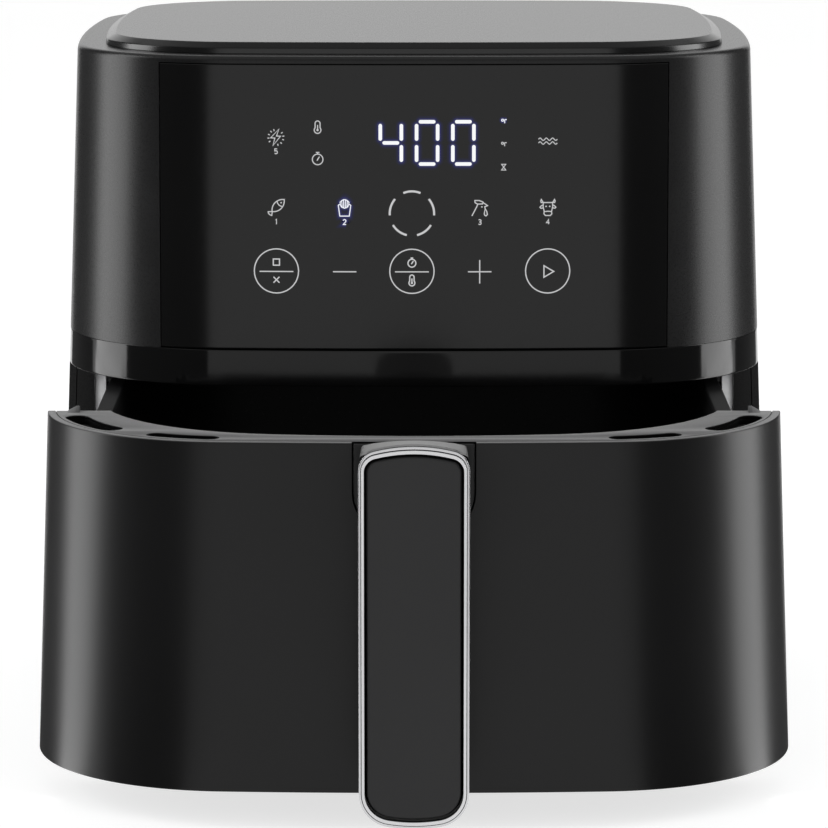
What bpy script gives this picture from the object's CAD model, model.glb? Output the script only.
# %% [markdown]
# A countertop air fryer, dressed for a product picture. The CAD model is the skeleton: it already has every
# piece at its real size and place. Here each piece that shows gets rounded edges and a real finish, and
# nothing is moved.

# %% Load the frame
from math import acos, atan2, cos, dist, pi, radians, sin, sqrt, tan

import bmesh
import bpy
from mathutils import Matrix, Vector


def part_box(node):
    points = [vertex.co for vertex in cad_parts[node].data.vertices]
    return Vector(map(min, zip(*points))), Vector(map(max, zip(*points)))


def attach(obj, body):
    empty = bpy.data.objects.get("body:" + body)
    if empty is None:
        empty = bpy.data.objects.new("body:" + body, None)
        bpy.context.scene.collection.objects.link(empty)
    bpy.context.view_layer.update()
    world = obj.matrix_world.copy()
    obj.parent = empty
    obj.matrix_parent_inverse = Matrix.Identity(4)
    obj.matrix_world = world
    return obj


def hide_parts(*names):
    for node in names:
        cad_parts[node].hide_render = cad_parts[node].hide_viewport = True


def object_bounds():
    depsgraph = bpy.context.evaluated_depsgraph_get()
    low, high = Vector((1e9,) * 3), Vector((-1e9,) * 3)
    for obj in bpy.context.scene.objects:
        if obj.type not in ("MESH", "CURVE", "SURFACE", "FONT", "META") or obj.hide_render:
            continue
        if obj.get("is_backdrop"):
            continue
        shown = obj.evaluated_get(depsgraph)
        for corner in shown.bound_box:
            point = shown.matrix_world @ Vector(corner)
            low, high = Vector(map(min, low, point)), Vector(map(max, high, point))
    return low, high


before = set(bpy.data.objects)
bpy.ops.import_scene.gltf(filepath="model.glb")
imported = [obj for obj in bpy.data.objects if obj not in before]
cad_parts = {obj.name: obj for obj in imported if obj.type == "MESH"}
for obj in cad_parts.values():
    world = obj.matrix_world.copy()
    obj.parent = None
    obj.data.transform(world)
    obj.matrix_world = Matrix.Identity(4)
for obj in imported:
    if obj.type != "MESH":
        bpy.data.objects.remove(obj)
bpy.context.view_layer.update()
MM = 0.001

# %% [markdown]
# The camera stands where a product photographer puts it: far off with a long lens, so that upright lines
# stay upright, and a little above the fryer, so that its lid and the drawer's rim just show. A camera could
# be aimed with a constraint, but a plain place and pitch are easier to read.

# %% Camera
def add_object(name, data):
    """Puts a camera, a lamp, a mesh or a curve into the scene."""
    obj = bpy.data.objects.new(name, data)
    bpy.context.scene.collection.objects.link(obj)
    return obj


LENS, SENSOR, CAMERA_BACK, CAMERA_HIGH, PITCH = 192.2, 36, 1.7425, 0.410, 9.3
camera_data = bpy.data.cameras.new("product_camera")
camera_data.lens, camera_data.sensor_width = LENS, SENSOR
camera = add_object("product_camera", camera_data)
camera.location = (0, -CAMERA_BACK, CAMERA_HIGH)
camera.rotation_euler = (radians(90 - PITCH), 0, 0)
bpy.context.scene.camera = camera
bpy.context.scene.view_settings.view_transform = "Standard"
print("camera lens", LENS, "mm, pitched down", PITCH, "degrees")

# %% [markdown]
# Every finish below is a small tree of nodes, so a few helpers keep the trees short. One starts a material,
# one adds a node with its settings, one makes a grain and one turns a grain into two tones. The grain is
# soft noise in object space, measured in grains per metre, which never stretches because it needs no
# unwrapped picture.

# %% Node helpers
def new_material(name, settings):
    """A material with its tree and its shader; settings are numbers or colours for the shader's sockets."""
    material = bpy.data.materials.new(name)
    material.use_nodes = True
    shader = material.node_tree.nodes["Principled BSDF"]
    for socket, value in settings.items():
        shader.inputs[socket].default_value = value
    return material, material.node_tree, shader


def add_node(tree, kind, **settings):
    """Adds a node; a setting that names an input socket fills it, any other is a property."""
    node = tree.nodes.new(kind)
    for key, value in settings.items():
        socket = key.replace("_", " ").title()
        if socket in node.inputs:
            node.inputs[socket].default_value = value
        else:
            setattr(node, key, value)
    return node


def add_grain(tree, per_metre, detail=2):
    """Noise in object space, with so many grains to the metre."""
    place = add_node(tree, "ShaderNodeTexCoord")
    scale = add_node(tree, "ShaderNodeMapping", scale=(per_metre,) * 3)
    noise = add_node(tree, "ShaderNodeTexNoise", scale=1.0, detail=detail)
    tree.links.new(place.outputs["Object"], scale.inputs["Vector"])
    tree.links.new(scale.outputs["Vector"], noise.inputs["Vector"])
    return noise.outputs["Fac"]


def add_tones(tree, grain, dark, light, start=0.0, end=1.0):
    """A colour that goes from one tone to another as a grain goes from start to end."""
    ramp = add_node(tree, "ShaderNodeValToRGB")
    first, last = ramp.color_ramp.elements
    first.position, last.position = start, end
    first.color, last.color = (*dark, 1), (*light, 1)
    tree.links.new(grain, ramp.inputs["Fac"])
    return ramp.outputs["Color"]


def grey(level):
    """A black or grey plastic's colour, a trace bluer than neutral."""
    return (level, level, level * 1.03)


print("node helpers ready")

# %% [markdown]
# Most of the fryer is moulded black plastic, which is never one flat black. The mould has a spark-eroded
# grain, so the gloss breaks up finely, and large areas drift a little in tone and shine where hands and
# cloths have rubbed. One function makes the whole family: colour, shine, grain size and grain depth change.

# %% A moulded or coated finish
def moulded(name, dark, light, rough, grain=1800, depth=0.00002, drift=9, metal=0.0, ior=1.5, sheen=0.0):
    """A plastic, paint or metal whose tone drifts slowly and whose surface has a fine grain."""
    material, tree, shader = new_material(
        name, {"Metallic": metal, "IOR": ior, "Sheen Weight": sheen, "Sheen Roughness": 0.4}
    )
    tone = add_tones(tree, add_grain(tree, drift, 4), dark, light, 0.35, 0.65)
    fine = add_grain(tree, grain)
    shine = add_node(
        tree, "ShaderNodeMapRange", from_min=0.3, from_max=0.7, to_min=rough * 0.93, to_max=rough * 1.07
    )
    bump = add_node(tree, "ShaderNodeBump", strength=0.35, distance=depth)
    tree.links.new(tone, shader.inputs["Base Color"])
    tree.links.new(fine, shine.inputs["Value"])
    tree.links.new(shine.outputs["Result"], shader.inputs["Roughness"])
    tree.links.new(fine, bump.inputs["Height"])
    tree.links.new(bump.outputs["Normal"], shader.inputs["Normal"])
    return material


housing_black = moulded("housing_black", grey(0.0065), grey(0.0085), 0.28, depth=0.000012, ior=1.31)
drawer_black = moulded("drawer_black", grey(0.0055), grey(0.0075), 0.30, depth=0.000012, ior=1.32)
print("finishes:", housing_black.name, drawer_black.name)

# %% [markdown]
# The studio is a pale floor in a white room. The floor is bright for camera, glossy and clear rays alike,
# so that metal mirrors the same white set, while its diffuse part still takes the fryer's shadow.

# %% Floor
FLOOR_REACH, FLOOR_GLOW = 9.0, 0.70
floor_material, tree, shader = new_material(
    "studio_floor", {"Roughness": 0.9, "Specular IOR Level": 0.1, "Emission Color": (1, 1, 1, 1)}
)
tone = add_tones(tree, add_grain(tree, 3, 3), (0.44,) * 3, (0.47,) * 3)
tree.links.new(tone, shader.inputs["Base Color"])
path = add_node(tree, "ShaderNodeLightPath")
shown = path.outputs["Is Camera Ray"]
for ray in ("Is Glossy Ray", "Is Transmission Ray"):
    either = add_node(tree, "ShaderNodeMath", operation="MAXIMUM")
    tree.links.new(shown, either.inputs[0])
    tree.links.new(path.outputs[ray], either.inputs[1])
    shown = either.outputs[0]
glow = add_node(tree, "ShaderNodeMath", operation="MULTIPLY")
glow.inputs[1].default_value = FLOOR_GLOW
tree.links.new(shown, glow.inputs[0])
tree.links.new(glow.outputs[0], shader.inputs["Emission Strength"])

corners = [(x * FLOOR_REACH, y * FLOOR_REACH, 0) for x, y in ((-1, -1), (1, -1), (1, 1), (-1, 1))]
floor_mesh = bpy.data.meshes.new("studio_floor")
floor_mesh.from_pydata(corners, [], [(0, 1, 2, 3)])
floor_mesh.materials.append(floor_material)
floor = add_object("studio_floor", floor_mesh)
floor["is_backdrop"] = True
print("floor", 2 * FLOOR_REACH, "m square")

# %% [markdown]
# White walls light the fryer from all sides, and the room is darker overhead, so that the flat tops don't
# wash out. A ramp along the height does it. A panorama would bring shapes and colours that a studio doesn't
# have.

# %% Room light
WALL_LIGHT, CEILING_LIGHT = 1.0, 0.38
world = bpy.data.worlds.new("studio")
bpy.context.scene.world = world
world.use_nodes = True
tree = world.node_tree
sky = tree.nodes["Background"]
place = add_node(tree, "ShaderNodeTexCoord")
axes = add_node(tree, "ShaderNodeSeparateXYZ")
tree.links.new(place.outputs["Generated"], axes.inputs[0])
tone = add_tones(tree, axes.outputs["Z"], (WALL_LIGHT,) * 3, (CEILING_LIGHT,) * 3, 0.2, 0.9)
tree.links.new(tone, sky.inputs["Color"])
sky.inputs["Strength"].default_value = 1.0
print("room light from", WALL_LIGHT, "at the walls to", CEILING_LIGHT, "above")

# %% [markdown]
# Black plastic has hardly any colour of its own: its shape is drawn by what it mirrors. So each side gets a
# tall strip light, which shows as an upright gleam on the round corners, and a large lamp hangs above for
# the flat tops.

# %% Lamps
def softbox(name, place, aim, width, height, watts):
    """A rectangular lamp at a place, turned to face a point."""
    lamp = bpy.data.lights.new(name, "AREA")
    lamp.shape = "RECTANGLE"
    lamp.size, lamp.size_y, lamp.energy = width, height, watts
    holder = add_object(name, lamp)
    holder.location = place
    way = Vector(aim) - Vector(place)
    holder.rotation_euler = way.to_track_quat("-Z", "Y").to_euler()


STRIP_WIDE, STRIP_TALL, STRIP_GLOW, STRIP_OUT, STRIP_BACK = 0.76, 1.5, 4.2, 1.5, 0.15
strip_watts = STRIP_GLOW * pi * STRIP_WIDE * STRIP_TALL
for name, side in (("strip_left", -1), ("strip_right", 1)):
    place = (side * STRIP_OUT, STRIP_BACK, STRIP_TALL / 2)
    softbox(name, place, (0, 0, STRIP_TALL / 2), STRIP_WIDE, STRIP_TALL, strip_watts)
softbox("overhead", place=(0, -0.5, 2.6), aim=(0, 0.05, 0.1), width=3.0, height=2.0, watts=8)
print("lamps:", [item.name for item in bpy.data.lights])

# %% [markdown]
# Product photographers also stand black cards beside a black object, so that dark bands part the gleams,
# and lay a bright sheet under each strip to carry its gleam down to the table. These cards are part of the
# set. They are seen by reflections only: no camera ray meets them, and they throw no shadow.

# %% Cards in the set
CARD_STEPS, CARD_START, CARD_REACH, SHEET_REACH, CARD_LIFT, WALL_HIGH = 12, 0.02, 2.5, 1.45, 0.001, 2.0


def card(name, side, x, y, start, end, glow, walled):
    """A fan-shaped card on the floor between two headings, with or without a wall at its far edge."""
    material, tree, shader = new_material(name, {
        "Roughness": 0.9, "Specular IOR Level": 0.0,
        "Emission Color": (1, 1, 1, 1), "Emission Strength": glow,
    })
    tone = add_tones(tree, add_grain(tree, 40), (0.004,) * 3, (0.008,) * 3)
    tree.links.new(tone, shader.inputs["Base Color"])
    edges = [(CARD_START, CARD_LIFT), (CARD_REACH if walled else SHEET_REACH, CARD_LIFT)]
    if walled:
        edges.append((CARD_REACH, WALL_HIGH))
    bm, rows = bmesh.new(), []
    for reach, level in edges:
        rows.append([])
        for step in range(CARD_STEPS + 1):
            heading = radians(start + (end - start) * step / CARD_STEPS)
            point = (side * (x + reach * sin(heading)), y - reach * cos(heading), level)
            rows[-1].append(bm.verts.new(point))
    for low, high in zip(rows, rows[1:]):
        for step in range(CARD_STEPS):
            bm.faces.new((low[step], low[step + 1], high[step + 1], high[step]))
    mesh = bpy.data.meshes.new(name)
    bm.to_mesh(mesh)
    bm.free()
    mesh.materials.append(material)
    sheet = add_object(name, mesh)
    sheet.visible_camera = sheet.visible_diffuse = sheet.visible_shadow = False
    sheet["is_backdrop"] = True


for name, side in (("left", -1), ("right", 1)):
    card("front_card_" + name, side, 0.085, -0.16, start=25, end=87, glow=0.10, walled=True)
    card("bright_sheet_" + name, side, 0.115, -0.14, start=91, end=118, glow=5.0, walled=False)
    card("rear_card_" + name, side, 0.115, -0.14, start=121, end=160, glow=0.087, walled=True)
print("cards set on both sides")

# %% [markdown]
# Seen from above, the fryer is a rounded square: a slow curve along each side and a tighter one at each
# corner. Its walls lean in as they rise, so at each level the same outline is drawn in a little, and a wall
# can be made by carrying a small cross-section round the outline. A lattice or a cage of subdivision would
# also do, but arcs with real radii match the CAD to a hair.

# %% The rounded-square outline
HALF_WIDTH, HALF_DEPTH = 145.0, 142.0
FRONT_RADIUS, SIDE_RADIUS, CORNER_RADIUS = 1140.0, 980.0, 76.5
DRAFT, WALL_FOOT = 0.0372, 14.0


def lean(level):
    """How far a wall has come in at a level, in mm."""
    return (level - WALL_FOOT) * DRAFT


def corner_centre():
    """Centre of the front right corner, which rounds the front curve into the side curve."""
    front, side = Vector((0, FRONT_RADIUS - HALF_DEPTH)), Vector((HALF_WIDTH - SIDE_RADIUS, 0))
    to_front, to_side = FRONT_RADIUS - CORNER_RADIUS, SIDE_RADIUS - CORNER_RADIUS
    span = (side - front).length
    along = (to_front**2 - to_side**2 + span**2) / (2 * span)
    across = sqrt(to_front**2 - along**2)
    unit = (side - front) / span
    return front + along * unit + across * Vector((-unit.y, unit.x))


def arc_points(centre, radius, start, end, steps):
    """Points on an arc, both ends included; angles in radians."""
    turns = [start + (end - start) * step / steps for step in range(steps + 1)]
    return [(centre[0] + radius * cos(turn), centre[1] + radius * sin(turn)) for turn in turns]


def outline(inset):
    """The rounded square in mm, anticlockwise from the middle of the back."""
    x, y = corner_centre()
    bow_y, bow_x = FRONT_RADIUS - HALF_DEPTH, HALF_WIDTH - SIDE_RADIUS
    front, side, half = atan2(y - bow_y, x), atan2(y, x - bow_x), pi
    runs = (
        ((0, -bow_y), FRONT_RADIUS, half / 2, half + front),
        ((-x, -y), CORNER_RADIUS, half + front, half + side),
        ((-bow_x, 0), SIDE_RADIUS, half + side, half - side),
        ((-x, y), CORNER_RADIUS, half - side, half - front),
        ((0, bow_y), FRONT_RADIUS, half - front, 2 * half + front),
        ((x, y), CORNER_RADIUS, 2 * half + front, 2 * half + side),
        ((bow_x, 0), SIDE_RADIUS, 2 * half + side, 2 * half - side),
        ((x, -y), CORNER_RADIUS, 2 * half - side, 2 * half - front),
        ((0, -bow_y), FRONT_RADIUS, 2 * half - front, 2.5 * half),
    )
    points = []
    for centre, radius, start, end in runs:
        points += arc_points(centre, radius - inset, start, end, 40)[:-1]
    return points


print("front right corner centre in mm:", [round(value, 1) for value in corner_centre()])

# %% [markdown]
# Some walls follow only a part of the outline: the drawer ends at its open back, and the panel is a piece
# of the front. These helpers keep a run of an outline, space its points evenly, so that faces come out
# regular, and stack such runs into rows.

# %% Runs of an outline
def keep_where(points, test):
    """The run of an outline where a test is positive, cut exactly at both ends."""
    run = []
    for here, after in zip(points, points[1:] + points[:1]):
        now, then = test(here), test(after)
        if now >= 0:
            run.append(here)
        if (now >= 0) != (then >= 0):
            share = now / (now - then)
            run.append(tuple(a + (b - a) * share for a, b in zip(here, after)))
    return run


def even(points, count, closed):
    """The same line with its points evenly spaced."""
    line = points + points[:1] if closed else points
    marks = [0.0]
    for a, b in zip(line, line[1:]):
        marks.append(marks[-1] + dist(a, b))
    spaced, index = [], 0
    for step in range(count):
        mark = marks[-1] * step / (count if closed else count - 1)
        while index < len(marks) - 2 and marks[index + 1] < mark:
            index += 1
        share = (mark - marks[index]) / max(marks[index + 1] - marks[index], 1e-9)
        spaced.append(tuple(a + (b - a) * share for a, b in zip(line[index], line[index + 1])))
    return spaced


def wall_rows(section, centre, count, test=None):
    """A row of points along the outline for each (inset, level) of a section; a test keeps one run of it."""
    rows = []
    for inset, level in section:
        line = keep_where(outline(inset), test) if test else outline(inset)
        rows.append([(x, y + centre, level) for x, y in even(line, count, closed=not test)])
    return rows


housing_y = sum(corner.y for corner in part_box("base_plate")) / 2 / MM
drawer_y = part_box("drawer_front")[0].y / MM + HALF_DEPTH
print("housing centre y", round(housing_y, 2), "drawer centre y", round(drawer_y, 2))

# %% [markdown]
# A real edge is never sharp, and a bright line runs along it where it turns. The cross-sections are
# therefore written as corners with a radius each. Two extra points hold each flat straight up to its
# rounding, which is what a modeller calls a support loop: without them the smooth shading would smear over
# the whole wall.

# %% Rounded cross-sections
def rounded(corners, steps=5, hold=0.5, ring=False):
    """Turns (in, up, radius) corners into points, each corner an arc of so many steps."""
    points = []
    for index, (a, b, radius) in enumerate(corners):
        here = Vector((a, b))
        if radius == 0 or (not ring and index in (0, len(corners) - 1)):
            points.append(here)
            continue
        before = (Vector(corners[index - 1][:2]) - here).normalized()
        after = (Vector(corners[(index + 1) % len(corners)][:2]) - here).normalized()
        half = before.angle(after) / 2
        centre = here + (before + after).normalized() * (radius / sin(half))
        reach = radius / tan(half)
        start, end = here + before * reach - centre, here + after * reach - centre
        first = atan2(start.y, start.x)
        points += map(Vector, arc_points(centre, radius, first, first - start.angle_signed(end), steps))
    held = []
    pairs = list(zip(points, points[1:] + points[:1]))
    for a, b in pairs if ring else pairs[:-1]:
        held.append(a)
        if (b - a).length > 5 * hold:
            held += [a + (b - a).normalized() * hold, b + (a - b).normalized() * hold]
    return held if ring else held + [points[-1]]


print("a rounded corner between two flats takes", len(rounded([(0, 0, 0), (9, 0, 1), (9, 9, 0)])), "points")

# %% [markdown]
# Rows of points become a closed skin: neighbouring rows are joined by faces, and open ends are filled flat.
# Blender's own bridge and fill tools do the same by hand, but a script has to give the same faces each run.

# %% Skins
def skin(bm, rows, around=True, ring=False):
    """Skins rows of points in mm. around: rows are closed loops; ring: the last row joins the first."""
    grid = [[bm.verts.new([value * MM for value in point]) for point in row] for row in rows]
    for index in range(len(rows) if ring else len(rows) - 1):
        a, b = grid[index], grid[(index + 1) % len(rows)]
        for column in range(len(a) if around else len(a) - 1):
            after = (column + 1) % len(a)
            bm.faces.new((a[column], a[after], b[after], b[column]))
    if not ring:
        bm.faces.new(grid[0])
        bm.faces.new(grid[-1])
    if not around and ring:
        bm.faces.new([row[0] for row in grid])
        bm.faces.new([row[-1] for row in grid])
    elif not around:
        bm.faces.new([row[0] for row in grid] + [row[-1] for row in reversed(grid)])


def skinned(rows, around=True, ring=False):
    """A new build that is one skin."""
    bm = bmesh.new()
    skin(bm, rows, around, ring)
    return bm


def to_mesh(name, bm):
    """Closes a build: outward faces, then a mesh."""
    bmesh.ops.recalc_face_normals(bm, faces=bm.faces)
    mesh = bpy.data.meshes.new(name)
    bm.to_mesh(mesh)
    bm.free()
    return mesh


print("skin helpers ready")

# %% [markdown]
# A skin becomes a piece: it gets smooth shading with crisp edges, a finish, the body that it rides on, and
# the CAD nodes that it stands for. Modifiers could do some of this, but a finished mesh looks the same
# wherever the part is opened.

# %% Pieces
def finish_mesh(mesh, material, angle=38):
    """Smooth shading, with edges kept crisp past an angle, and one finish all over."""
    mesh.polygons.foreach_set("use_smooth", [True] * len(mesh.polygons))
    mesh.set_sharp_from_angle(angle=radians(angle))
    mesh.materials.clear()
    mesh.materials.append(material)


def set_piece(name, bm, material, body, slot, *stands_for):
    """Puts a build on its body, names its slot and hides the CAD nodes that it stands for."""
    mesh = to_mesh(name, bm)
    finish_mesh(mesh, material)
    obj = add_object(name, mesh)
    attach(obj, body)
    if stands_for:
        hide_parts(*stands_for)
    spans = [max(values) - min(values) for values in zip(*(vert.co for vert in mesh.vertices))]
    print(f"{name}: {len(mesh.polygons)} faces, {[round(span / MM, 1) for span in spans]} mm")
    return obj


def refinish(obj, material, test):
    """Gives the faces of a piece that pass a test a finish of their own."""
    obj.data.materials.append(material)
    faces = [face for face in obj.data.polygons if test(face)]
    for face in faces:
        face.material_index = len(obj.data.materials) - 1
    print(f"{obj.name}: {len(faces)} faces in {material.name}")


def dress(material, *members):
    """Gives CAD nodes a finish; their meshes stay as they were loaded."""
    for node in members:
        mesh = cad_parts[node].data
        mesh.materials.clear()
        mesh.materials.append(material)
    print(material.name, "on", *members)


print("piece helpers ready")

# %% [markdown]
# The drawer front is one deep moulding: an outer wall that follows the housing, a thin floor, and an open
# back. Its section runs up the outside, over a lip three millimetres wide, and down the inside, so one skin
# with two flat fills makes it. A box with a solidify modifier would not give the lean or the soft lip.

# %% Drawer front
DRAWER_TOP, WALL, SETTLE = 142.5, 3, 0.85
drawer_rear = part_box("drawer_front")[1].y / MM - drawer_y


def before_rear(point):
    """Positive where a point seen from above lies in front of the drawer's open back."""
    return drawer_rear - point[1]


def settle(bm):
    """Sinks the drawer's top a little towards the handle; points lower down sink less."""
    front, rear = drawer_y - HALF_DEPTH, drawer_y + drawer_rear
    for vert in bm.verts:
        ahead = min(max((rear - vert.co.y / MM) / (rear - front), 0), 1)
        height = min(max((vert.co.z / MM - WALL_FOOT) / (DRAWER_TOP - WALL_FOOT), 0), 1)
        vert.co.z -= SETTLE * ahead * height * MM


UNDERSIDE, INSIDE = 10, 14
lip, foot, floor_top = lean(DRAWER_TOP) + WALL, WALL_FOOT - 0.95, WALL_FOOT + WALL
ledge, ledge_top, ledge_low = lip + 0.28, DRAWER_TOP - 0.45, DRAWER_TOP - 3.4
drawer_section = rounded([
    (UNDERSIDE, foot, 0), (0, foot, 0.5), (lean(DRAWER_TOP), DRAWER_TOP, 0.5), (lip, DRAWER_TOP, 0.2),
    (lip, ledge_top, 0), (ledge, ledge_top, 0), (ledge, ledge_low, 0), (lip - 0.1, ledge_low, 0),
    (WALL, floor_top, 2), (INSIDE, floor_top, 0),
])
bm = skinned(wall_rows(drawer_section, drawer_y, 170, before_rear), around=False)
settle(bm)
drawer_shell = set_piece("drawer_shell", bm, drawer_black, "drawer", "housing_black", "drawer_front")

# %% [markdown]
# The handle's arm drops into a notch with round lower corners in the middle of the front. A boolean cut is
# the plain way to notch a curved wall: a short prism is taken out of the shell, and only the cut shell is
# kept.

# %% Notch for the handle arm
ARM_HALF, ARM_LOW, ARM_CORNER, SEAM = 21.8, 109.4, 14.0, 0.72


def tab_line(half, low, high, corner):
    """A plate seen from the front, with round lower corners, as (x, z) points."""
    left = arc_points((corner - half, low + corner), corner, pi, 1.5 * pi, 8)
    right = arc_points((half - corner, low + corner), corner, 1.5 * pi, 2 * pi, 8)
    return [(half, high), (-half, high), *left, *right]


def shown_mesh(obj):
    """The mesh that an object shows, with its modifiers or its curve settings worked in."""
    graph = bpy.context.evaluated_depsgraph_get()
    return bpy.data.meshes.new_from_object(obj.evaluated_get(graph))


def carve(obj, bm):
    """Takes a closed build out of a piece and keeps the result as its mesh."""
    tool = add_object("carving_tool", to_mesh("carving_tool", bm))
    cut = obj.modifiers.new("carve", "BOOLEAN")
    cut.object, cut.operation, cut.solver = tool, "DIFFERENCE", "EXACT"
    mesh = shown_mesh(obj)
    obj.modifiers.clear()
    bpy.data.objects.remove(tool)
    finish_mesh(mesh, obj.data.materials[0])
    obj.data = mesh


notch = tab_line(ARM_HALF + SEAM, ARM_LOW - SEAM, DRAWER_TOP + 1, ARM_CORNER + SEAM)
rows = [[(x, y + drawer_y, z) for x, z in notch] for y in (-HALF_DEPTH - 6, lip + 1 - HALF_DEPTH)]
carve(drawer_shell, skinned(rows))
print("drawer shell after the notch:", len(drawer_shell.data.polygons), "faces")

# %% [markdown]
# A flat rim closes the top of the drawer between its wall and the basket. Cool air is drawn through two
# long slots at each corner. A filled curve suits a flat plate with holes: inner loops become holes by
# themselves, and the curve's own bevel breaks every edge, the slots' edges too.

# %% Flat plates from filled curves
def plate(name, loops, low, high, edge):
    """A flat plate in mm from closed loops; loops inside the first are holes."""
    curve = bpy.data.curves.new(name, "CURVE")
    curve.dimensions, curve.fill_mode = "2D", "BOTH"
    curve.extrude, curve.bevel_depth = ((high - low) / 2 - edge) * MM, edge * MM
    curve.bevel_resolution, curve.offset = 2, -edge * MM
    for loop in loops:
        spline = curve.splines.new("POLY")
        spline.points.add(len(loop) - 1)
        for point, (x, y) in zip(spline.points, loop):
            point.co = (x * MM, (y + drawer_y) * MM, 0, 1)
        spline.use_cyclic_u = True
    holder = add_object(name, curve)
    mesh = shown_mesh(holder)
    bpy.data.objects.remove(holder)
    bm = bmesh.new()
    bm.from_mesh(mesh)
    bmesh.ops.remove_doubles(bm, verts=bm.verts, dist=1e-7)
    bmesh.ops.translate(bm, verts=bm.verts, vec=(0, 0, (low + high) / 2 * MM))
    bpy.data.meshes.remove(mesh)
    return bm


def rounded_square(half_x, half_y, corner, steps=14):
    """The basket's kind of outline in mm, anticlockwise: a rectangle with round corners."""
    points, quarter = [], pi / 2
    for turn, (x, y) in enumerate(((1, -1), (1, 1), (-1, 1), (-1, -1))):
        centre = (x * (half_x - corner), BASKET_MIDDLE + y * (half_y - corner))
        points += arc_points(centre, corner, quarter * (turn - 1), quarter * turn, steps)
    return points


BASKET_MIDDLE = -7.5
print("basket centre y", round(drawer_y + BASKET_MIDDLE, 2))

# %% [markdown]
# The slots are arcs about the same centre as the corner's own curve, with round ends. The rim's inner edge
# is one smooth bow with wide corners. All are drawn as runs of arcs, and the left slots mirror the right
# ones.

# %% Slots and opening of the rim
SLOT_IN, SLOTS = 14.1, ((-43.5, -18.5, 4.5), (-82.5, -63.5, 3.7))
hub, middle = corner_centre(), CORNER_RADIUS - SLOT_IN
slots = []
for first, last, half_slot in SLOTS:
    start, end = radians(first), radians(last)
    near, far = (arc_points(hub, middle, turn, turn, 1)[0] for turn in (start, end))
    slot = arc_points(hub, middle + half_slot, start, end, 12)
    slot += arc_points(far, half_slot, end, end + pi, 8)[1:]
    slot += arc_points(hub, middle - half_slot, end, start, 12)[1:]
    slot += arc_points(near, half_slot, start + pi, start + 2 * pi, 8)[1:-1]
    slots += [slot, [(-x, y) for x, y in slot]]


def opening(half=118.5, corner=76.0, bow=380.0, front=-122.2):
    """The rim's inner edge: bowed in front, with wide corners, open at the rear."""
    x, y = half - corner, front + bow - sqrt((bow - corner) ** 2 - (half - corner) ** 2)
    turn, behind = atan2(y - front - bow, x), drawer_rear + 60
    points = [(-half, behind)] + arc_points((-x, y), corner, -pi, -pi - turn, 14)
    points += arc_points((0, front + bow), bow, -pi - turn, turn, 16)[1:-1]
    points += arc_points((x, y), corner, turn, 0, 14) + [(half, behind)]
    return keep_where(points, before_rear)


print(len(slots), "slots")

# %% [markdown]
# The rim is two plates, one on the other: a thin cover with the bowed edge, and a skirt below that follows
# the basket. At its rear ends stand two small tabs, which slope down to the front. All go into one mesh,
# which is then settled like the shell.

# %% Drawer rim
RIM_HALF_WIDTH, RIM_HALF_DEPTH, RIM_CORNER, RIM_GAP, COVER, SKIRT = 120.2, 118.5, 54.0, 0.3, 1.25, 3.5
TAB_OUT, TAB_PEAK, TAB_IN, TAB_RISE = 130.2, 126.9, 125.6, 1.9
outside = even(keep_where(outline(lip + RIM_GAP), before_rear), 160, False)
hole = rounded_square(RIM_HALF_WIDTH + RIM_GAP, RIM_HALF_DEPTH + RIM_GAP, RIM_CORNER + RIM_GAP)
half_round = len(hole) // 2
hole = keep_where(hole[half_round:] + hole[:half_round], before_rear)
rim_bm = plate("drawer_rim", [outside + opening()[::-1], *slots], DRAWER_TOP - COVER, DRAWER_TOP, 0.2)
skirt_top = DRAWER_TOP - COVER - 0.03
skirt_bm = plate("rim_skirt", [outside + hole[::-1], *slots], DRAWER_TOP - SKIRT, skirt_top, 0.2)
skirt = bpy.data.meshes.new("rim_skirt")
skirt_bm.to_mesh(skirt)
rim_bm.from_mesh(skirt)
tab = rounded([
    (TAB_OUT, -0.5, 0), (TAB_OUT, 0.1, 0.3), (TAB_PEAK, TAB_RISE, 0.6), (TAB_IN, TAB_RISE, 0.3),
    (TAB_IN, -0.5, 0),
], steps=3, hold=0.2, ring=True)
for side in (-1, 1):
    rows = [[(side * x, drawer_y + drawer_rear - back, DRAWER_TOP + z * rise) for x, z in tab]
            for back, rise in ((0.2, 1), (0.8, 1), (4.6, 0.04))]
    skin(rim_bm, rows)
settle(rim_bm)
rim_grey = moulded("rim_grey", grey(0.034), grey(0.042), 0.45, grain=1500, sheen=0.28)
drawer_rim = set_piece("drawer_rim", rim_bm, rim_grey, "drawer", "housing_black", "drawer_cap")

# %% [markdown]
# A mesh may carry several finishes: each face just keeps the number of its own. The top of the shell's lip
# takes the rim's grey. Light that enters a slot hardly comes out again, so the slots' walls, and the rim's
# edge in the notch, get a deeper black.

# %% Second finishes on the drawer
def in_slot_or_notch(face):
    """Whether a face of the rim belongs to a slot's wall or to its edge at the notch."""
    x, y = abs(face.center.x) / MM, face.center.y / MM - drawer_y
    if x < ARM_HALF + 4 and face.normal.y < -0.5:
        return True
    sunk = SETTLE * min((drawer_rear - y) / (drawer_rear + HALF_DEPTH), 1)
    below = face.center.z / MM < DRAWER_TOP - sunk - 0.2
    return below and abs(dist((x, y), hub) - middle) < 5.0 and y < hub.y


lip_level = (DRAWER_TOP - SETTLE - 0.4) * MM
refinish(drawer_shell, rim_grey, lambda face: face.normal.z > 0.8 and face.center.z > lip_level)
deep_black = moulded("deep_black", grey(0.002), grey(0.003), 0.6, ior=1.1)
refinish(drawer_rim, deep_black, in_slot_or_notch)

# %% [markdown]
# The basket and its plate are coated so that food lets go: a dark layer with fine lighter flecks. The
# flecks are the middles of scattered cells. A painted picture would also do, but it needs an unwrapped
# mesh.

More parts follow.
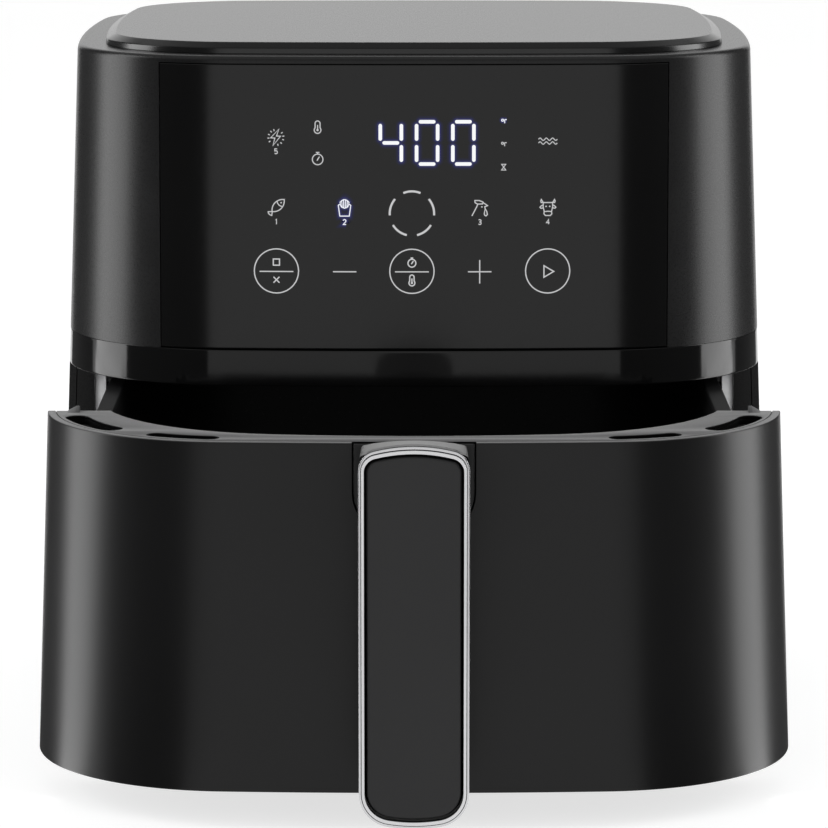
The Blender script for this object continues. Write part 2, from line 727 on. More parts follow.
# %% Non-stick coating
def flecked(name, base, fleck, rough):
    """A non-stick coating: dark, faintly pebbled, with scattered pale flecks."""
    light = [value * 1.25 for value in base]
    material = moulded(name, base, light, rough, grain=2600, depth=0.00003, ior=1.33)
    tree = material.node_tree
    shader = tree.nodes["Principled BSDF"]
    colour = shader.inputs["Base Color"].links[0].from_socket
    cells = add_node(tree, "ShaderNodeTexVoronoi", scale=420.0)
    place = add_node(tree, "ShaderNodeTexCoord")
    few = add_node(tree, "ShaderNodeMath", operation="LESS_THAN")
    few.inputs[1].default_value = 0.13
    blend = add_node(tree, "ShaderNodeMix", data_type="RGBA")
    blend.inputs["B"].default_value = (*fleck, 1)
    tree.links.new(place.outputs["Object"], cells.inputs["Vector"])
    tree.links.new(cells.outputs["Distance"], few.inputs[0])
    tree.links.new(few.outputs[0], blend.inputs["Factor"])
    tree.links.new(colour, blend.inputs["A"])
    tree.links.new(blend.outputs["Result"], shader.inputs["Base Color"])
    return material


coated = flecked("coated_metal", grey(0.007), grey(0.022), 0.42)
print("coating:", coated.name)

# %% [markdown]
# The basket is pressed from sheet. Its wall leans out, turns into the floor over a soft heel, and ends in a
# flat lip that hangs under the drawer's rim. The section is again carried round an outline, this time a
# plain rounded rectangle.

# %% Basket
BASKET_HALF_WIDTH, BASKET_HALF_DEPTH, BASKET_CORNER = 114.5, 114.0, 49.5
BASKET_LOW, BASKET_FLOOR, FLOOR_IN, LIP_WIDE, LIP_LONG = 26.0, 27.2, 34, 5.7, 4.5
lip_top = DRAWER_TOP - COVER - 0.1
lip_low = lip_top - 1.2
basket_section = rounded([
    (FLOOR_IN, BASKET_LOW, 0), (6, BASKET_LOW, 9), (0.1, lip_low, 0.5), (-LIP_WIDE, lip_low, 0.45),
    (-LIP_WIDE, lip_top, 0.55), (1.2, lip_top, 1.0), (7.1, BASKET_FLOOR, 7.8), (FLOOR_IN, BASKET_FLOOR, 0),
], steps=6)


def basket_line(tuck):
    """The basket seen from above, drawn in by a tuck; its lip is narrower in front and behind."""
    deep = BASKET_HALF_DEPTH - max(tuck, -LIP_LONG)
    return rounded_square(BASKET_HALF_WIDTH - tuck, deep, BASKET_CORNER - tuck)


rows = [[(x, y + drawer_y, level) for x, y in basket_line(tuck)] for tuck, level in basket_section]
bm = skinned(rows)
settle(bm)
set_piece("basket_tub", bm, coated, "drawer", "coated_metal", "basket")

# %% [markdown]
# A perforated plate lies in the basket on four soft feet and lifts straight out. The filled curve makes it
# too: one outline and a grid of round holes, every edge broken by the bevel.

# %% Crisper plate
HOLE_PITCH, HOLE_RADIUS, HOLE_ROWS = 18, 4, range(-4, 5)
plate_low, plate_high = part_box("crisper_plate")
holes = [
    arc_points((HOLE_PITCH * column, BASKET_MIDDLE + HOLE_PITCH * row), HOLE_RADIUS, 0, 2 * pi, 24)[:-1]
    for row in HOLE_ROWS for column in HOLE_ROWS if abs(row) + abs(column) < 8
]
sheet = basket_line(BASKET_HALF_WIDTH - plate_high.x / MM)
bm = plate("crisper_sheet", [sheet, *holes], plate_low.z / MM, plate_high.z / MM, 0.4)
set_piece("crisper_sheet", bm, coated, "crisper", "coated_metal", "crisper_plate")

# %% [markdown]
# Four soft feet keep the plate off the basket's floor. Each is a turned shape with a slight waist, so its
# section is carried round a small circle. A bevelled cylinder would do, but would look hard.

# %% Crisper feet
FOOT_RADIUS = 5
silicone = moulded("silicone_grey", grey(0.07), grey(0.085), 0.62, grain=2200, depth=0.00004)
feet_low, feet_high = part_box("crisper_feet")
foot_x = feet_high.x / MM - FOOT_RADIUS
foot_y = (feet_high.y - feet_low.y) / 2 / MM - FOOT_RADIUS
foot_low, foot_high = feet_low.z / MM, feet_high.z / MM
foot_section = rounded([
    (0.5, foot_low, 0), (FOOT_RADIUS, foot_low, 1.2), (4.4, foot_low + 9, 2.0), (4.8, foot_high, 0),
], steps=4)
bm = bmesh.new()
for x in (-foot_x, foot_x):
    for y in (-foot_y, foot_y):
        centre = (x, BASKET_MIDDLE + drawer_y + y)
        rows = [[(*point, level) for point in arc_points(centre, radius, 0, 2 * pi, 32)[:-1]]
                for radius, level in foot_section]
        skin(bm, rows)
set_piece("crisper_pads", bm, silicone, "crisper", "silicone_grey", "crisper_feet")

# %% [markdown]
# The handle hangs in front of the drawer: a grip behind, a dark face in front, and a thin silver frame
# round the face. All share one outline, with straight sides, softly crowned ends and round corners, so one
# function draws it at any inset.

# %% Handle outline
HANDLE_HALF, HANDLE_LOW, HANDLE_HIGH, CROWN, TOP_CORNER, LOW_CORNER = 19.57, 11.25, 148.85, 58.0, 7.0, 12.0


def handle_line(inset, steps=10):
    """The grip seen from the front as (x, z) points in mm, anticlockwise."""
    crown, half = CROWN - inset, HANDLE_HALF - inset
    tops, lows = HANDLE_HIGH - CROWN - inset / 4, HANDLE_LOW + CROWN + inset / 4

    def corner(radius, centre, way):
        x = half - radius
        return x, centre + way * sqrt((crown - radius) ** 2 - x**2)

    high, low = corner(TOP_CORNER - inset, tops, 1), corner(LOW_CORNER - inset, lows, -1)
    high_turn, low_turn = atan2(high[1] - tops, high[0]), atan2(low[1] - lows, low[0])
    runs = (
        ((0, lows), crown, -pi - low_turn, low_turn),
        (low, LOW_CORNER - inset, low_turn, 0),
        (high, TOP_CORNER - inset, 0, high_turn),
        ((0, tops), crown, high_turn, pi - high_turn),
        ((-high[0], high[1]), TOP_CORNER - inset, pi - high_turn, pi),
        ((-low[0], low[1]), LOW_CORNER - inset, pi, pi - low_turn),
    )
    points = []
    for run in runs:
        points += arc_points(*run, steps)
    return [point for point, after in zip(points, points[1:] + points[:1]) if dist(point, after) > 1e-4]


def handle_rows(section):
    """Outlines at each (inset, depth) of a section, depth measured from the drawer's centre to the front."""
    return [[(x, drawer_y - depth, z) for x, z in handle_line(inset)] for inset, depth in section]


print("handle outline points:", len(handle_line(0)))

# %% [markdown]
# Each piece of the handle is a stack of such outlines. The frame has two steps with a fine groove between
# them, which a single bevelled ring would not show. The grip is hollowed in front, where the face lies, and
# that hollow is deep black, since little light leaves it.

# %% Handle frame, face and grip
frame_low, frame_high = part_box("handle_frame")
frame_front, frame_back = drawer_y - frame_low.y / MM, drawer_y - frame_high.y / MM
face_front = drawer_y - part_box("handle_face")[0].y / MM
grip_back = drawer_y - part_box("handle_grip")[1].y / MM
trim_back, TRIM_WIDE, FACE_IN, GRIP_IN, RECESS_IN, MIDDLE_IN = frame_front - 2.4, 2.04, 2.9, 0.5, 1.95, 6.0
satin_silver = moulded(
    "satin_silver", (0.55, 0.55, 0.56), (0.60, 0.60, 0.61), 0.22, grain=900, depth=0.000002, metal=1.0
)
frame_section = rounded([
    (0, trim_back, 0.1), (0, frame_front - 0.70, 0.15), (0.73, frame_front - 0.5, 0.05),
    (0.87, frame_front - 1.3, 0), (1.01, frame_front, 0.1), (TRIM_WIDE, frame_front, 0.15),
    (TRIM_WIDE, trim_back, 0.1),
], steps=3, hold=0.15, ring=True)
bm = skinned(handle_rows(frame_section), ring=True)
set_piece("handle_trim", bm, satin_silver, "drawer", "silver_trim", "handle_frame")

handle_black = moulded("handle_black", grey(0.020), grey(0.023), 0.42, grain=2400, ior=1.34)
face_section = rounded([
    (MIDDLE_IN, frame_back + 0.02, 0), (FACE_IN, frame_back + 0.02, 0.1), (FACE_IN, face_front, 0.7),
    (MIDDLE_IN, face_front, 0),
], hold=0.3)
bm = skinned(handle_rows(face_section))
set_piece("handle_panel", bm, handle_black, "drawer", "handle_black", "handle_face")

arm_black = moulded("arm_black", grey(0.006), grey(0.008), 0.34, ior=1.31, sheen=0.35)
grip_section = rounded([
    (MIDDLE_IN, grip_back, 0), (GRIP_IN, grip_back, 3.0), (GRIP_IN, trim_back - 0.02, 0.1),
    (RECESS_IN, trim_back - 0.02, 0), (RECESS_IN, frame_back, 0), (MIDDLE_IN, frame_back, 0),
], steps=7)
bm = skinned(handle_rows(grip_section))
grip = set_piece("handle_back", bm, arm_black, "drawer", "handle_black", "handle_grip")
refinish(grip, deep_black, lambda face: face.normal.y < -0.5)

# %% [markdown]
# The arm that carries the handle has two parts. A plate fills the notch in the drawer front and lies flush
# with the wall, which leans and curves, so each point of the plate is set back from the wall by the same
# small step. A neck with a crowned top then bridges from the plate to the grip. Its end shows in the gap
# round the handle's face, so that end is deep black like the grip's.

# %% Handle arm
def front_y(x, z, centre, lift=0):
    """How far back the front wall of the drawer or the housing is at a point seen from the front."""
    radius = FRONT_RADIUS - lean(z) + lift
    return centre + FRONT_RADIUS - HALF_DEPTH - sqrt(radius**2 - x**2)


def neck_line(low, top, crown, half=19.1, soft=1.4):
    """The neck's section as (x, z): flat below, crowned above, with soft corners."""
    x, turn = half - soft, acos((half - soft) / (crown - soft))
    z = top - crown + sqrt((crown - soft) ** 2 - x**2)
    points = [(-half, low), (half, low)] + arc_points((x, z), soft, 0, turn, 4)
    points += arc_points((0, top - crown), crown, turn, pi - turn, 20)[1:-1]
    return points + arc_points((-x, z), soft, pi - turn, pi, 4)


plate_top, rows = DRAWER_TOP - SETTLE - 0.25, []
for inset, back, drop in ((0, 2.6, 1.8), (0, 0.45, 0), (0.12, 0.16, 0), (0.45, 0.05, 0), (1.2, 0.05, 0)):
    line = tab_line(ARM_HALF - inset, ARM_LOW + inset, plate_top - inset - drop, ARM_CORNER - inset)
    rows.append([(x, front_y(x, z, drawer_y) + back, z) for x, z in line])
bm = skinned(rows)
ROOT_TOP, ROOT_CROWN, END_TOP, NECK_DEEP, NECK_STEPS = 142.3, 105.0, 148.35, 17.0, 8
neck_root, neck_end = front_y(0, ROOT_TOP, drawer_y) + 2.5, drawer_y - trim_back + 0.04
rows = []
for step in range(NECK_STEPS + 1):
    share = step / NECK_STEPS
    top, crown = ROOT_TOP + (END_TOP - ROOT_TOP) * share, ROOT_CROWN + (CROWN - ROOT_CROWN) * share
    line = neck_line(ROOT_TOP - NECK_DEEP, top, crown)
    rows.append([(x, neck_root + (neck_end - neck_root) * share, z) for x, z in line])
skin(bm, rows)
arm = set_piece("arm_neck", bm, arm_black, "drawer", "handle_black", "handle_arm")
refinish(arm, deep_black, lambda face: face.center.y / MM < neck_end + 0.01)

# %% [markdown]
# The bracket and screws behind the arm are right as the CAD made them, so they keep their mesh and only get
# a finish. Assigning to a CAD node's material slot is all that such a piece needs.

# %% Fixings keep their CAD mesh
bracket_steel = moulded("bracket_steel", (0.42, 0.42, 0.43), (0.50, 0.50, 0.51), 0.38, grain=1200, metal=1.0)
dress(bracket_steel, "basket_bracket", "handle_screws")

# %% [markdown]
# A glossy band parts the two halves of the housing. It is a plain hoop: a small rounded section carried all
# the way round. Gloss black is mostly reflection, so its colour hardly matters and its shine does.

# %% Glossy band
def wall_section(low, high, thick, radii, steps=5):
    """The section of a strip of wall between two levels, with a radius for each corner."""
    corners = ((lean(low), low), (lean(high), high), (lean(high) + thick, high), (lean(low) + thick, low))
    return rounded([(*corner, radius) for corner, radius in zip(corners, radii)], steps, ring=True)


band_low, band_high = (corner.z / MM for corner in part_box("trim_band"))
band_section = wall_section(band_low, band_high, 3.2, (0.3, 0.4, 0.3, 0.3))
bm = skinned(wall_rows(band_section, housing_y, 260), ring=True)
gloss_black = moulded("gloss_black", grey(0.003), grey(0.004), 0.08, grain=300, depth=0.000004, ior=1.33)
set_piece("gloss_band", bm, gloss_black, "housing", "trim_gloss", "trim_band")

# %% [markdown]
# The lid is a shallow cover with a straight edge, a slanted bevel and a flat top. It is carried round the
# same outline, but filled flat above and below. Seen from so low, its top mirrors the white set behind it
# and looks grey although it is black. The bevel and the edge are smoother still and mirror other things, so
# each has a finish of its own.

# %% Lid
LID_IN, LID_FLAT, PLUG_IN = 11.1, 45, 5.35
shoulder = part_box("upper_housing")[1].z / MM
plug_low, lid_top = (corner.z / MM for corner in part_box("top_cover"))
lid_top -= 0.45
edge = lean(shoulder) + LID_IN
lid_section = rounded([
    (edge + LID_FLAT, plug_low, 0), (edge + PLUG_IN, plug_low, 0.3), (edge + PLUG_IN, shoulder, 0),
    (edge, shoulder, 0.15), (edge + 0.35, shoulder + 2.2, 0.5), (edge + 4.2, lid_top, 0.6),
    (edge + LID_FLAT, lid_top, 0),
])
bm = skinned(wall_rows(lid_section, housing_y, 260))
lid_black = moulded("lid_black", grey(0.005), grey(0.006), 0.27, grain=1600, depth=0.00001, ior=1.43)
lid = set_piece("lid_cover", bm, lid_black, "housing", "cover_black", "top_cover")
lid_bevel = moulded("lid_bevel", grey(0.004), grey(0.005), 0.21, grain=1600, depth=0.000006, ior=1.25)
lid_edge = moulded("lid_edge", grey(0.004), grey(0.005), 0.21, grain=1600, depth=0.000006, ior=1.46)
refinish(lid, lid_bevel, lambda face: 0.4 < face.normal.z <= 0.97)
refinish(lid, lid_edge, lambda face: face.normal.z <= 0.4)

# %% [markdown]
# The two shells, the vent grille, the base, the cord's gland and the feet have their true shape from the
# CAD, so they keep their mesh. Only the finish tells them apart: grained plastic, a duller base and soft
# rubber.

# %% Housing shells keep their CAD mesh
base_black = moulded("base_black", grey(0.012), grey(0.015), 0.5, grain=1300)
rubber = moulded("foot_rubber", grey(0.02), grey(0.026), 0.75, grain=1500, depth=0.00005)
dress(housing_black, "upper_housing", "lower_housing", "rear_vent_grille")
dress(base_black, "base_plate", "cord_gland")
dress(rubber, "rubber_feet")

# %% [markdown]
# The touch panel is one curved, drafted pane let into the front of the housing. It is cut from the same
# outline as the wall, so it lies flush, with a hair of shadow all round.

# %% Touch panel
panel_low, panel_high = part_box("control_panel")


def in_pane(point):
    """Positive where a point of the outline lies in the pane's width, at the front."""
    return min(panel_high.x / MM - abs(point[0]), -point[1])


panel_section = wall_section(panel_low.z / MM, panel_high.z / MM, 2.5, (0.35, 0.35, 0.2, 0.2), steps=3)
bm = skinned(wall_rows(panel_section, housing_y, 60, in_pane), around=False, ring=True)
panel_black = moulded("panel_black", grey(0.002), grey(0.003), 0.18, grain=500, depth=0.000004, ior=1.385)
set_piece("touch_panel", bm, panel_black, "housing", "panel_gloss", "control_panel")

# %% [markdown]
# The signs on the panel are printed and lit from behind. Each is a thin closed strip laid on the pane: a
# line of points with a width, lifted by a twentieth of a millimetre, and wrapped to the pane's curve. Text
# objects would be quicker, but strips let every sign be drawn by hand and stay free of any wording.

# %% Strips on the panel
SUNK, SIGN_LIFT, SPILL_LIFT, FAINT_LIFT, LAYER = -0.08, 0.05, 0.03, 0.01, 0.002


def on_panel(line, lift):
    """A line of (x, z) points in mm wrapped to the pane and lifted off its face."""
    return [(x, front_y(x, z, housing_y, lift), z) for x, z in line]


def strip(bm, line, width, closed=False, lift=SIGN_LIFT):
    """A thin closed bar of even width along a line of (x, z) points."""
    points = [Vector(point) for point in line]
    left, right = [], []
    for index, (x, z) in enumerate(line):
        ways = []
        if index or closed:
            ways.append((points[index] - points[index - 1]).normalized())
        if index < len(line) - 1 or closed:
            ways.append((points[(index + 1) % len(line)] - points[index]).normalized())
        way = sum(ways, Vector((0, 0))).normalized()
        reach = width / 2 / max(way.dot(ways[0]), 0.5)
        left.append((x - way.y * reach, z + way.x * reach))
        right.append((x + way.y * reach, z - way.x * reach))
    rows = [on_panel(left, SUNK), on_panel(left, lift), on_panel(right, lift), on_panel(right, SUNK)]
    skin(bm, rows, around=closed, ring=True)


def lit(name, colour, glow):
    """A printed sign lit from behind, a touch uneven as real diffusers are."""
    dark = (0.004, 0.004, 0.004, 1)
    material, tree, shader = new_material(
        name, {"Base Color": dark, "Roughness": 0.16, "IOR": 1.36, "Emission Strength": glow}
    )
    tone = add_tones(tree, add_grain(tree, 120), [value * 0.9 for value in colour], colour)
    tree.links.new(tone, shader.inputs["Emission Color"])
    return material


print("signs are lifted by", SIGN_LIFT, "mm, their spilt light by", SPILL_LIFT, "and", FAINT_LIFT, "mm")

# %% [markdown]
# Three seven-segment figures show the temperature. Each segment is a short bar with round ends, set a
# little apart from its neighbours, and each figure is just a choice of bars. Under each bar lie two wider,
# faint blue ones: in a real display the light spills a little way into the pane.

# %% Lit figures
FIGURE_WIDE, FIGURE_TALL, FIGURE_LOW, BAR = 8.05, 16.15, 231.15, 1.38
SEGMENTS = {
    "g": ((0, 1), (1, 1)), "a": ((0, 2), (1, 2)), "b": ((1, 1), (1, 2)), "c": ((1, 0), (1, 1)),
    "d": ((0, 0), (1, 0)), "e": ((0, 0), (0, 1)), "f": ((0, 1), (0, 2)),
}
FIGURES = (("bcfg", -12.88), ("abcdef", 0.98), ("abcdef", 14.84))


def bar(bm, start, end, width, trim, lift):
    """A thin bar with round ends between two points, drawn short at both."""
    way, quarter = (end - start).normalized(), pi / 2
    turn, inward = atan2(way.y, way.x), way * (trim + width / 2)
    line = arc_points(start + inward, width / 2, turn + quarter, turn + 3 * quarter, 8)
    line += arc_points(end - inward, width / 2, turn - quarter, turn + quarter, 8)
    skin(bm, [on_panel(line, SUNK), on_panel(line, lift)])


figures, spill, faint = bmesh.new(), bmesh.new(), bmesh.new()
for segments, left in FIGURES:
    for name in segments:
        ends = [Vector((left + x * FIGURE_WIDE, FIGURE_LOW + z * FIGURE_TALL / 2)) for x, z in SEGMENTS[name]]
        layer = LAYER * list(SEGMENTS).index(name)
        bar(figures, *ends, BAR, 0.8, 0.06)
        bar(spill, *ends, BAR + 1.3, 0.1, SPILL_LIFT + layer)
        bar(faint, *ends, BAR + 2.9, -0.6, FAINT_LIFT + layer)
set_piece("lit_figures", figures, lit("figure_light", (0.97, 0.98, 1.0), 1.0), "housing", "panel_gloss")

# %% [markdown]
# The touch keys carry plain signs: outlines of food for the programs, each with its number, and round keys
# to stop, to set time and heat, and to start. A sign is a list of lines on a small grid, so it is drawn
# once and placed anywhere by a shift and a scale.

# %% Sign shapes
def oval(x, z, wide, tall, start=0, end=360, steps=24):
    """Points on an oval or a piece of one; angles in degrees."""
    turns = [radians(start + (end - start) * step / steps) for step in range(steps + 1)]
    return [(x + wide * cos(turn), z + tall * sin(turn)) for turn in turns]


def dot(x, z):
    """A ring so small that its strip fills it."""
    return oval(x, z, 0.03, 0.03, steps=8)


SIGNS = {
    "fish": [
        oval(-0.32, 0.79, 1.306, 1.306, -97.8, 7.5, 14) + oval(0.8, -0.33, 1.306, 1.306, 82.2, 187.5, 14),
        [(-0.5, -0.5), (-0.98, -0.53), (-0.94, -0.74), (-0.76, -0.9), (-0.54, -0.98), (-0.48, -0.52)],
        [(0.12, 0.72), (0.17, 0.5), (0.3, 0.33), (0.48, 0.2), (0.7, 0.12)],
        dot(0.6, 0.58),
    ],
    "sticks": [
        [(-0.74, 0.36), (-0.56, -0.96), (0.56, -0.96), (0.74, 0.36)],
        [(-0.74, 0.36), (-0.5, 0.40), (-0.36, 0.1), (0, -0.04), (0.36, 0.1), (0.5, 0.40), (0.74, 0.36)],
        [(-0.5, 0.40), (-0.52, 0.68), (-0.34, 0.86), (-0.28, 0.12)],
        [(-0.34, 0.86), (-0.12, 0.97), (-0.09, 0.02)],
        [(-0.12, 0.97), (0.12, 0.97), (0.09, 0.02)],
        [(0.12, 0.97), (0.34, 0.86), (0.28, 0.12)],
        [(0.34, 0.86), (0.52, 0.68), (0.5, 0.40)],
    ],
    "hen": [
        [(-0.6, 0.88), (-0.05, 0.87), (0.4, 0.68), (0.34, 0.46), (-0.28, 0.44), (-0.58, 0.62), (-0.6, 0.88)],
        [(-0.96, -1.0), (-0.34, 0.18), (-0.26, 0.42)],
        [(0.4, 0.62), (0.95, 0.25), (0.6, 0.12), (0.66, -0.14)],
        [(0.66, -0.14), (0.54, -0.72), (0.6, -0.93), (0.76, -1.0), (0.92, -0.84), (0.85, -0.46),
         (0.66, -0.14)],
        dot(0.25, 0.1),
    ],
    "ox": [
        [(-0.56, 0.6), (0.56, 0.6), (0.58, 0.1), (0.45, -0.48), (0.48, -0.78), (0.3, -0.98),
         (-0.3, -0.98), (-0.48, -0.78), (-0.45, -0.48), (-0.58, 0.1), (-0.56, 0.6)],
        [(-0.4, -0.5), (0, -0.46), (0.4, -0.5)],
        *[[(side * a, b) for a, b in line] for side in (-1, 1) for line in (
            [(0.5, 0.62), (0.82, 0.6), (0.88, 0.8), (0.8, 0.98), (0.62, 0.68)],
            [(0.6, 0.3), (0.8, 0.22), (0.97, 0.02), (0.86, -0.1), (0.56, -0.04)],
            dot(0.22, 0.13))],
    ],
}
print("food signs:", *SIGNS)

# %% Other signs
SIGNS |= {
    "spark": [
        [(0.34, 0.94), (-0.6, -0.05), (-0.12, -0.07), (-0.34, -0.92), (0.52, 0.14), (0.06, 0.16),
         (0.34, 0.94)],
        *[[oval(0, 0, reach, reach, turn)[0] for reach in (0.74, 0.96)]
          for turn in (10, 38, 105, 130, 158, 185, 213, 285, 313, 343)],
    ],
    "heat": [
        oval(0, -0.47, 0.54, 0.54, -222, 42, 20) + oval(0, 0.59, 0.4, 0.4, 0, 180, 12)
        + oval(0, -0.47, 0.54, 0.54, -222)[:1],
        [(0, 0.35), (0, -0.45)], oval(0, -0.47, 0.1, 0.1, steps=12),
    ],
    "clock": [
        oval(0, -0.1, 0.84, 0.84), [(-0.1, -0.3), (0.02, -0.06), (0.3, 0.34)], [(-0.06, -0.2), (0.1, 0.02)],
        [(0, 0.74), (0, 1.0)], [(-0.28, 1.0), (0.28, 1.0)],
    ],
    "waves": [
        [(step / 18 - 1, height + 0.13 * sin(step * pi / 6)) for step in range(37)]
        for height in (-0.2, 0.2)
    ],
    "degree": [oval(-0.4, 0.3, 0.34, 0.34), [(0.3, 0.5), (0.3, -0.7)], [(0.3, 0.5), (1.0, 0.5)]],
    "glass": [[(-0.75, 1), (0.75, 1), (-0.75, -1), (0.75, -1), (-0.75, 1)]],
    "square": [[(-0.7, -0.7), (0.7, -0.7), (0.7, 0.7), (-0.7, 0.7), (-0.7, -0.7)]],
    "cross": [[(-0.6, -0.6), (0.6, 0.6)], [(-0.6, 0.6), (0.6, -0.6)]],
    "start": [[(-0.55, -0.85), (0.9, 0), (-0.55, 0.85), (-0.55, -0.85)]],
    "1": [[(-0.25, 0.65), (0.1, 1), (0.1, -1)]],
    "2": [oval(0, 0.45, 0.55, 0.55, 170, -35, 12) + [(-0.55, -1), (0.6, -1)]],
    "3": [oval(0, 0.5, 0.5, 0.5, 150, -90, 12) + oval(0, -0.48, 0.55, 0.52, 90, -150, 12)],
    "4": [[(0.3, -1), (0.3, 1), (-0.6, -0.35), (0.65, -0.35)]],
    "5": [[(0.5, 1), (-0.45, 1), (-0.5, 0.15)] + oval(0, -0.38, 0.58, 0.62, 130, -150, 14)],
}
print(len(SIGNS), "signs in all")

# %% [markdown]
# Most signs are only printed, and those of the chosen program are lit. A lit sign lies in layers like the
# figures: the sharp sign on top, and wider, fainter blue ones under it. A table says where each sign goes,
# and how wide its lines are.

# %% Printed and lit signs
def put_sign(bm, name, x, z, size, width, lift=SIGN_LIFT):
    """Lays a sign on the pane: size is half its height in mm."""
    for index, line in enumerate(SIGNS[name]):
        line = [(x + size * a, z + size * b) for a, b in line]
        shut = dist(line[0], line[-1]) < 1e-6
        strip(bm, line[:-1] if shut else line, width, shut, lift + LAYER * index)


KEYS, KEY_LEVEL, KEY_RADIUS, DIAL_LEVEL = (-52.8, -26.6, -0.8, 25.2, 51.3), 189.8, 8.5, 212.2
PRINTED = (
    ("fish", KEYS[0], 214.4, 3.15, 0.4), ("1", KEYS[0], 208.9, 0.95, 0.36),
    ("hen", KEYS[3], 214.4, 3.15, 0.4), ("3", KEYS[3], 208.9, 0.95, 0.36),
    ("ox", KEYS[4], 214.4, 3.15, 0.4), ("4", KEYS[4], 208.9, 0.95, 0.36),
    ("spark", KEYS[0], 241.2, 3.4, 0.38), ("5", KEYS[0], 235.9, 0.95, 0.36),
    ("heat", -36.85, 245.2, 2.38, 0.4), ("clock", -36.85, 233.1, 2.42, 0.4),
    ("degree", 34.3, 238.7, 1.15, 0.34), ("glass", 34.3, 229.9, 1.1, 0.34),
    ("waves", 51.2, 239.8, 3.6, 0.34),
    ("square", KEYS[0], 193.4, 1.7, 0.46), ("cross", KEYS[0], 186.6, 1.9, 0.46),
    ("clock", KEYS[2], 193.3, 1.8, 0.46), ("heat", KEYS[2], 186.5, 2.1, 0.46),
    ("start", KEYS[4], KEY_LEVEL, 2.6, 0.46),
)
LIT = (
    ("sticks", KEYS[1], 214.3, 3.25, (0.38, 1.7, 3.2)), ("2", KEYS[1], 208.9, 0.95, (0.38, 1.7, 3.2)),
    ("degree", 34.3, 247.5, 1.15, (0.36, 1.5)),
)
printed, bright = bmesh.new(), bmesh.new()
for sign in PRINTED:
    put_sign(printed, *sign)
for *sign, widths in LIT:
    for bm, width, lift in zip((bright, spill, faint), widths, (SIGN_LIFT, SPILL_LIFT, FAINT_LIFT)):
        put_sign(bm, *sign, width, lift)
print(len(PRINTED), "printed signs and", len(LIT), "lit ones")

# %% [markdown]
# What is left are plain lines: rings round three keys, bars across two of them, a minus, a plus, and a dial
# of five arcs. Then each layer becomes a piece with a light of its own.

# %% Rings, bars and the dial
for x in (KEYS[0], KEYS[2], KEYS[4]):
    strip(printed, arc_points((x, KEY_LEVEL + 0.2), KEY_RADIUS, 0, 2 * pi, 40)[:-1], 0.44, closed=True)
KEY_BARS = ((KEYS[0], 6.5, 0.42), (KEYS[2], 6.5, 0.42), (KEYS[1], 4.5, 0.44), (KEYS[3], 4.5, 0.44))
for x, reach, width in KEY_BARS:
    strip(printed, [(x - reach, KEY_LEVEL), (x, KEY_LEVEL), (x + reach, KEY_LEVEL)], width)
for low, high in ((-4.5, -0.28), (0.28, 4.5)):
    strip(printed, [(KEYS[3], KEY_LEVEL + low), (KEYS[3], KEY_LEVEL + high)], 0.44)
for heading in (90, 18, -54, -126, 162):
    start, end = radians(heading - 22.7), radians(heading + 22.7)
    strip(printed, arc_points((KEYS[2], DIAL_LEVEL), KEY_RADIUS, start, end, 12), 0.8)
SPILL_COLOUR = (0.10, 0.12, 1.0)
for name, bm, finish, colour, glow in (
    ("printed_signs", printed, "printed_grey", (0.58, 0.58, 0.59), 1.0),
    ("lit_signs", bright, "sign_light", (0.90, 0.92, 1.0), 1.0),
    ("lit_spill", spill, "spill_blue", SPILL_COLOUR, 0.085),
    ("faint_spill", faint, "faint_blue", SPILL_COLOUR, 0.02),
):
    set_piece(name, bm, lit(finish, colour, glow), "housing", "panel_gloss")

# %% [markdown]
# Inside are the pieces that do the work: bright sheet steel round the drawer bay, a coated chamber, a ring
# heater, the fans and their motor, and the boards. Their CAD shapes are right, so each only needs a finish
# that tells what it is made of.

# %% Inner metals
pale, paler = (0.55, 0.55, 0.56), (0.66, 0.66, 0.67)
liner_steel = moulded("liner_steel", pale, paler, 0.42, grain=400, depth=0.00003, drift=60, metal=0.45)
dress(liner_steel, "cavity_liner", "exhaust_duct")
dress(flecked("chamber_coat", grey(0.03), grey(0.05), 0.4), "chamber_shell", "chamber_collar")
for name, dark, light, rough, grain, drift, *members in (
    ("heater_steel", (0.22, 0.20, 0.19), (0.34, 0.31, 0.28), 0.42, 900, 25,
     "heating_element", "heater_hangers"),
    ("wire_steel", (0.62, 0.62, 0.63), (0.70, 0.70, 0.71), 0.22, 700, 9,
     "heater_guard", "temperature_probe", "motor_standoffs"),
    ("fan_aluminium", (0.58, 0.58, 0.60), (0.68, 0.68, 0.70), 0.33, 800, 9, "hot_air_fan"),
    ("motor_steel", (0.40, 0.40, 0.42), (0.48, 0.48, 0.50), 0.36, 900, 9,
     "motor_bracket", "motor", "fan_nut"),
    ("shaft_steel", (0.60, 0.60, 0.62), (0.66, 0.66, 0.68), 0.2, 2500, 9, "motor_shaft"),
    ("bush_brass", (0.60, 0.42, 0.18), (0.70, 0.50, 0.22), 0.32, 1200, 9, "motor_bushes"),
):
    dress(moulded(name, dark, light, rough, grain=grain, drift=drift, metal=1.0), *members)

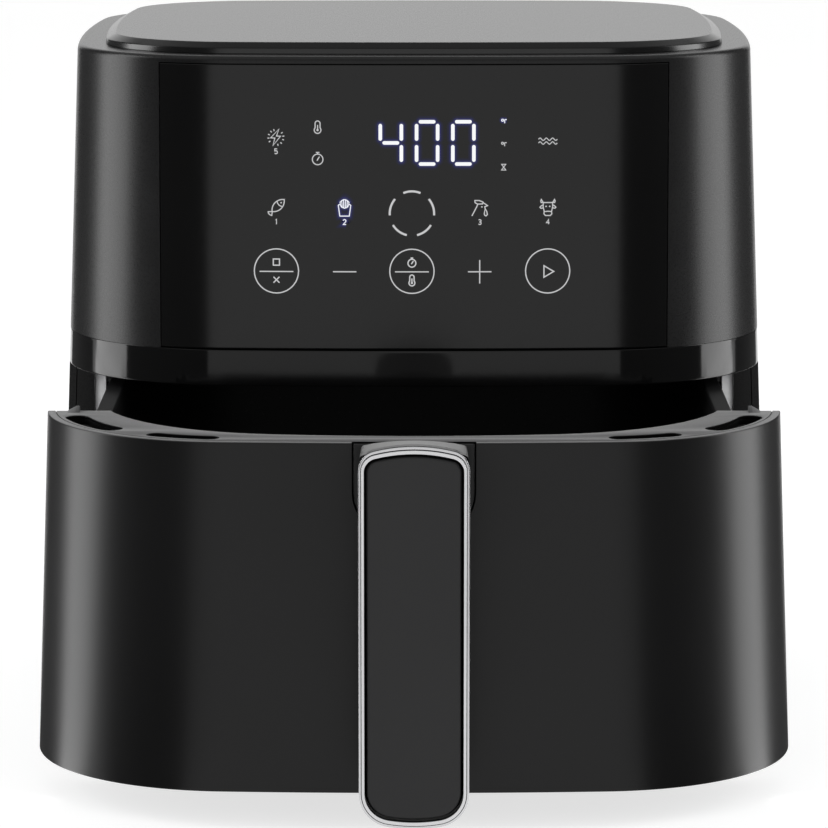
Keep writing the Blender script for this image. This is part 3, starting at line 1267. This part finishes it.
# %% [markdown]
# The rails, posts and cooling fan are dark plastic. The boards are green laminate with black parts on them,
# and the display lies behind a smoked lens.

# %% Inner plastics and boards
inner_plastic = moulded("inner_plastic", grey(0.045), grey(0.055), 0.5)
board_green = moulded("board_green", (0.016, 0.10, 0.04), (0.02, 0.13, 0.05), 0.35, grain=600, drift=120)
part_black = moulded("part_black", grey(0.02), grey(0.028), 0.45, drift=80)
lens_smoke = moulded("display_lens", grey(0.012), grey(0.016), 0.12, grain=300)
dress(housing_black, "cavity_frame")
dress(inner_plastic, "left_rail", "right_rail", "cooling_fan", "board_posts", "touch_posts")
dress(inner_plastic, "interlock_plunger")
dress(board_green, "power_board", "touch_board")
dress(part_black, "power_components", "interlock_switch", "thermal_cutout")
dress(lens_smoke, "display_module")

# %% [markdown]
# The bay's sheet ends in a turned lip at each side, which leads the drawer in. It leans back a little, so
# it catches the light that comes in over the drawer and shows as a pale upright strip. A short skin does
# it.

# %% Lead-in lips of the bay
LIP_OUT, LIP_IN, LIP_LOW, LIP_HIGH, LIP_THICK, LIP_LEAN = 128.5, 123.7, 112.0, 141.5, 0.6, 0.18
lip_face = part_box("cavity_liner")[0].y / MM - 0.7
lip_section = ((LIP_OUT, 0), (LIP_IN + 0.3, 0), (LIP_IN, 0.3), (LIP_IN, LIP_THICK), (LIP_OUT, LIP_THICK))
bm = bmesh.new()
for side in (-1, 1):
    rows = [[(side * out, lip_face - (LIP_HIGH - z) * LIP_LEAN + back, z) for z in (LIP_LOW, LIP_HIGH)]
            for out, back in lip_section]
    skin(bm, rows, around=False, ring=True)
pale, paler = (0.72, 0.72, 0.73), (0.80, 0.80, 0.81)
lip_steel = moulded("lip_steel", pale, paler, 0.30, grain=500, depth=0.00001, drift=60, metal=0.9)
set_piece("bay_lips", bm, lip_steel, "housing", "liner_steel")

# %% [markdown]
# Last, the dressed model is measured against the CAD box, which it may not outgrow, and the frame is
# closed.

# %% Sizes and finish
low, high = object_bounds()
print("visual box in mm:", [round(side / MM, 1) for side in high - low])
